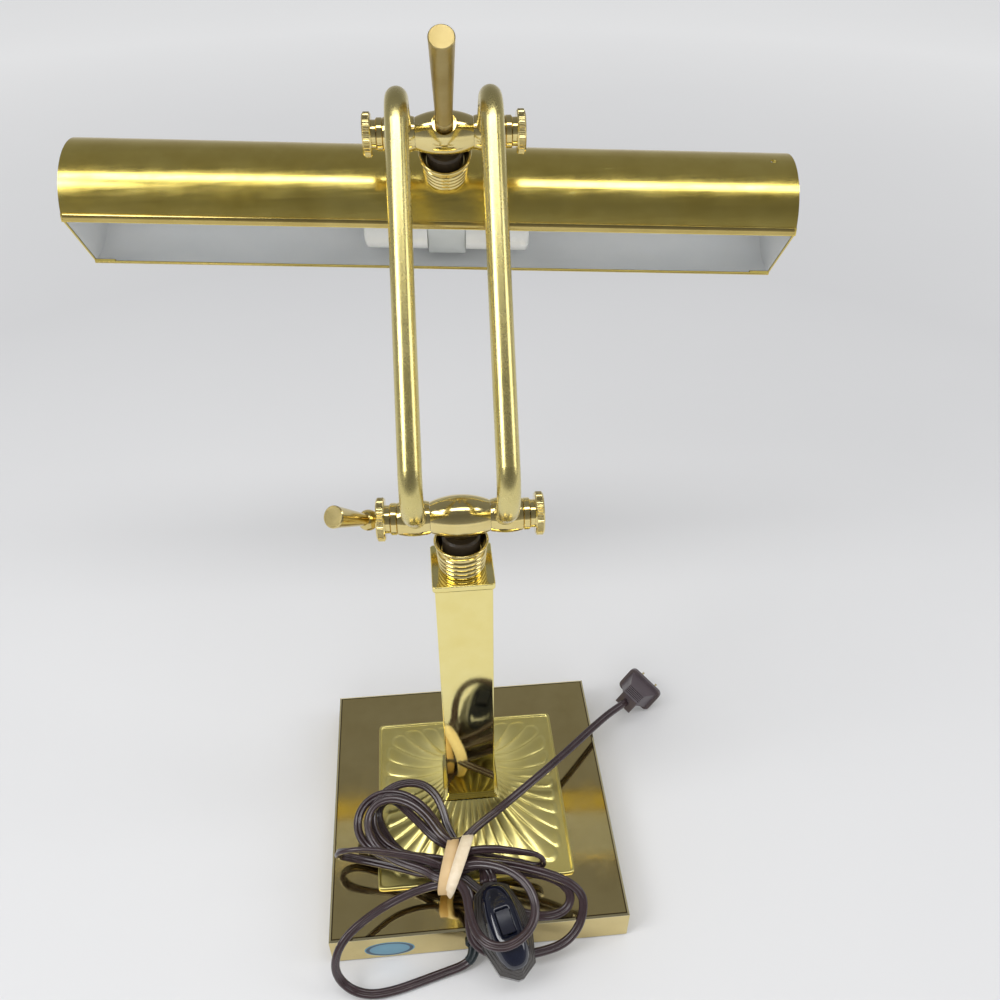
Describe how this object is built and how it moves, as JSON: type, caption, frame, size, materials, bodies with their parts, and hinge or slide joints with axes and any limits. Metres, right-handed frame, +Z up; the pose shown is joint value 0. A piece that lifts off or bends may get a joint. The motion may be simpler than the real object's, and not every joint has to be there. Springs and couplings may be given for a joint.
{
  "type": "piano lamp",
  "caption": "Piano lamp with a long half-round shade on bent swing arms, a square column and a square weighted base, with a tied cord, plug and inline switch.",
  "frame": {"origin": "centre of the base's underside", "axes": "+Z up along the column, +X to the right along the shade as seen from the cord's side, the arms lean towards +Y"},
  "size_m": [0.408, 0.3455, 0.4773],
  "materials": {
    "felt": "flat short pile",
    "iron": "as cast",
    "base_brass": "mirror polished and lacquered, slightly smoky",
    "panel_brass": "stamped, satin",
    "column_brass": "mirror polished and lacquered",
    "turned_brass": "turned and polished, pale",
    "tube_brass": "polished tube",
    "shade_brass": "brushed along its length, satin",
    "cap_brass": "satin outside, white enamel inside",
    "steel": "plain",
    "bracket_steel": "plated, dull",
    "black_washer": "black",
    "socket_white": "white moulded, glossy",
    "shell_brass": "thin rolled shell",
    "cord_brown": "dark brown, soft sheen",
    "band_tan": "tan rubber, matt",
    "plug_brown": "dark brown moulded",
    "blade_brass": "plain",
    "switch_brown": "brown moulded",
    "switch_black": "black, glossy",
    "bushing_black": "black"
  },
  "bodies": {
    "base": {"base_felt": "felt", "base_weight": "iron", "base_cover": "base_brass", "sunburst_panel": "panel_brass", "cord_bushing": "bushing_black", "column_foot": "column_brass", "column_tube": "column_brass", "column_cap": "column_brass", "tie_rod": "steel", "tie_washer": "steel", "tie_nut": "steel", "lower_neck": "turned_brass", "lower_sleeve": "black_washer", "lower_neck_screw": "steel", "cord_to_bundle": "cord_brown", "cord_bundle": "cord_brown", "bundle_band": "band_tan", "cord_to_plug": "cord_brown", "plug_body": "plug_brown", "plug_left_blade": "blade_brass", "plug_right_blade": "blade_brass", "switch_lower_half": "switch_brown", "switch_upper_half": "switch_black"},
    "rocker": {"switch_rocker": "switch_black"},
    "swivel": {"lower_barrel": "turned_brass", "lower_pivot_rod": "steel", "lower_right_collar": "turned_brass", "lower_left_collar": "turned_brass"},
    "lower_right_nut": {"lower_right_knurled_nut": "turned_brass"},
    "lower_left_nut": {"lower_left_knurled_nut": "turned_brass"},
    "lower_clamp": {"lower_lever": "turned_brass"},
    "arms": {"right_arm_tube": "tube_brass", "left_arm_tube": "tube_brass", "right_lower_knuckle": "turned_brass", "left_lower_knuckle": "turned_brass", "right_upper_knuckle": "turned_brass", "left_upper_knuckle": "turned_brass"},
    "head": {"upper_barrel": "turned_brass", "upper_pivot_rod": "steel", "upper_right_collar": "turned_brass", "upper_left_collar": "turned_brass"},
    "upper_right_nut": {"upper_right_knurled_nut": "turned_brass"},
    "upper_left_nut": {"upper_left_knurled_nut": "turned_brass"},
    "upper_clamp": {"upper_lever": "turned_brass"},
    "shade": {"upper_neck": "turned_brass", "upper_sleeve": "black_washer", "upper_neck_screw": "steel", "shade_shell": "shade_brass", "right_end_cap": "cap_brass", "left_end_cap": "cap_brass", "shade_nipple": "steel", "shade_clamp_nut": "steel", "bracket_nut": "steel", "socket_bracket": "bracket_steel", "right_socket": "socket_white", "left_socket": "socket_white", "right_screw_shell": "shell_brass", "left_screw_shell": "shell_brass", "right_contact": "blade_brass", "left_contact": "blade_brass"}
  },
  "joints": [
    {"name": "column_swivel", "type": "hinge", "parent": "base", "child": "swivel", "pos_m": [0, 0, 0.2724], "axis": [0, 0, 1], "range_deg": [-170, 170]},
    {"name": "arms_tilt", "type": "hinge", "parent": "swivel", "child": "arms", "pos_m": [0, 0, 0.2724], "axis": [0.9996, -0.0297, 0], "range_deg": [-46, 60]},
    {"name": "head_tilt", "type": "hinge", "parent": "arms", "child": "head", "pos_m": [0.00403, 0.13566, 0.41492], "axis": [0.9996, -0.0297, 0], "range_deg": [-45, 90]},
    {"name": "shade_swivel", "type": "hinge", "parent": "head", "child": "shade", "pos_m": [0.00403, 0.13566, 0.41492], "axis": [-0.0168, -0.5662, 0.8241], "range_deg": [-45, 45]},
    {"name": "lower_right_nut_turn", "type": "hinge", "parent": "swivel", "child": "lower_right_nut", "pos_m": [0, 0, 0.2724], "axis": [0.9996, -0.0297, 0], "continuous": true},
    {"name": "lower_left_nut_turn", "type": "hinge", "parent": "swivel", "child": "lower_left_nut", "pos_m": [0, 0, 0.2724], "axis": [0.9996, -0.0297, 0], "continuous": true},
    {"name": "lower_lever_turn", "type": "hinge", "parent": "swivel", "child": "lower_clamp", "pos_m": [0, 0, 0.2724], "axis": [0.9996, -0.0297, 0], "range_deg": [-60, 60]},
    {"name": "upper_right_nut_turn", "type": "hinge", "parent": "head", "child": "upper_right_nut", "pos_m": [0.00403, 0.13566, 0.41492], "axis": [0.9996, -0.0297, 0], "continuous": true},
    {"name": "upper_left_nut_turn", "type": "hinge", "parent": "head", "child": "upper_left_nut", "pos_m": [0.00403, 0.13566, 0.41492], "axis": [0.9996, -0.0297, 0], "continuous": true},
    {"name": "upper_lever_turn", "type": "hinge", "parent": "head", "child": "upper_clamp", "pos_m": [0.00403, 0.13566, 0.41492], "axis": [-0.0206, -0.6944, 0.7193], "range_deg": [-180, 180]},
    {"name": "switch_rocker_tip", "type": "hinge", "parent": "base", "child": "rocker", "pos_m": [0.01395, -0.09563, 0.04168], "axis": [0.9659, 0.2588, 0], "range_deg": [-6, 6]}
  ]
}
